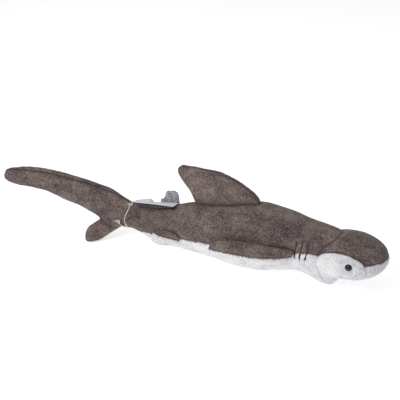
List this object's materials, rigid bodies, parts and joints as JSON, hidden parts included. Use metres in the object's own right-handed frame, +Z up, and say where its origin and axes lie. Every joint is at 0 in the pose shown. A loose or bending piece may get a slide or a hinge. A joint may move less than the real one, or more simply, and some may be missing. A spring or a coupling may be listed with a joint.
{
  "type": "plush shark",
  "caption": "Stuffed plush hammerhead shark: grey back, white belly, hammer head with domed eyes, tall swept dorsal fin, soft side fins and a long-lobed tail with a swing tag.",
  "frame": {"origin": "centre of the flat of the belly that the toy lies on", "axes": "+X towards the head, +Z up, +Y to the shark's left"},
  "size_m": [0.5337, 0.1526, 0.1342],
  "materials": {
    "grey_plush": "short-pile plush, brushed",
    "white_plush": "short-pile plush, brushed",
    "polyester_fill": "loose polyester fibre",
    "black_thread": "embroidered satin stitch",
    "eye_plastic": "polished",
    "washer_plastic": "moulded",
    "woven_label": "woven ribbon, open mesh pattern",
    "cream_twine": "twisted cotton",
    "tag_card": "coated card"
  },
  "bodies": {
    "torso": {"torso_side_left": "grey_plush", "torso_side_right": "grey_plush", "belly_panel": "white_plush", "torso_stuffing": "polyester_fill", "gill_stitches_left": "black_thread", "gill_stitches_right": "black_thread"},
    "head": {"head_top": "grey_plush", "head_underside": "white_plush", "hammer_end_left": "white_plush", "hammer_end_right": "white_plush", "head_stuffing": "polyester_fill", "eye_left": "eye_plastic", "eye_right": "eye_plastic", "eye_washer_left": "washer_plastic", "eye_washer_right": "washer_plastic"},
    "dorsal_fin": {"dorsal_fin_left": "grey_plush", "dorsal_fin_right": "grey_plush", "dorsal_fin_stuffing": "polyester_fill"},
    "pectoral_left": {"pectoral_left_top": "grey_plush", "pectoral_left_bottom": "white_plush", "pectoral_left_stuffing": "polyester_fill"},
    "pectoral_right": {"pectoral_right_top": "grey_plush", "pectoral_right_bottom": "white_plush", "pectoral_right_stuffing": "polyester_fill"},
    "tail": {"tail_side_left": "grey_plush", "tail_side_right": "grey_plush", "tail_belly_strip": "white_plush", "tail_stuffing": "polyester_fill", "care_label": "woven_label", "tag_string": "cream_twine", "string_knot": "cream_twine"},
    "pelvic_left": {"pelvic_left_top": "grey_plush", "pelvic_left_bottom": "white_plush"},
    "pelvic_right": {"pelvic_right_top": "grey_plush", "pelvic_right_bottom": "white_plush"},
    "tag": {"tag_cover": "tag_card", "tag_back": "tag_card"},
    "caudal_fin": {"caudal_fin_left": "grey_plush", "caudal_fin_right": "grey_plush", "caudal_fin_stuffing": "polyester_fill"}
  },
  "joints": [
    {"name": "neck_bend", "type": "hinge", "parent": "torso", "child": "head", "pos_m": [0.148, 0, 0.045], "axis": [0, 0, 1], "range_deg": [-12, 12], "stiffness_Nm_per_rad": 0.25},
    {"name": "tail_bend", "type": "hinge", "parent": "torso", "child": "tail", "pos_m": [-0.075, 0, 0.035], "axis": [0, 0, 1], "range_deg": [-34, 10], "stiffness_Nm_per_rad": 0.2},
    {"name": "caudal_bend", "type": "hinge", "parent": "tail", "child": "caudal_fin", "pos_m": [-0.16206, -0.0185, 0.045], "axis": [0, 0, 1], "range_deg": [-43, 17], "stiffness_Nm_per_rad": 0.1},
    {"name": "dorsal_fold", "type": "hinge", "parent": "torso", "child": "dorsal_fin", "pos_m": [-0.043, 0, 0.083], "axis": [0.981, 0, 0.194], "range_deg": [-35, 35], "stiffness_Nm_per_rad": 0.12},
    {"name": "pectoral_right_lift", "type": "hinge", "parent": "torso", "child": "pectoral_right", "pos_m": [0.05, -0.039, 0.056], "axis": [-0.998, -0.0603, -0.0208], "range_deg": [0, 55], "stiffness_Nm_per_rad": 0.1},
    {"name": "pectoral_left_lift", "type": "hinge", "parent": "torso", "child": "pectoral_left", "pos_m": [0.05, 0.039, 0.056], "axis": [0.998, -0.0603, 0.0208], "range_deg": [0, 55], "stiffness_Nm_per_rad": 0.1},
    {"name": "pelvic_right_lift", "type": "hinge", "parent": "tail", "child": "pelvic_right", "pos_m": [-0.09856, -0.02863, 0.039], "axis": [-0.9967, -0.0575, -0.058], "range_deg": [0, 40], "stiffness_Nm_per_rad": 0.03},
    {"name": "pelvic_left_lift", "type": "hinge", "parent": "tail", "child": "pelvic_left", "pos_m": [-0.10817, 0.01657, 0.039], "axis": [0.9339, 0.3528, 0.058], "range_deg": [0, 40], "stiffness_Nm_per_rad": 0.03},
    {"name": "tag_lift", "type": "hinge", "parent": "tail", "child": "tag", "pos_m": [-0.14243, -0.01945, 0.0695], "axis": [0.2079, -0.9781, 0], "range_deg": [0, 75]}
  ]
}
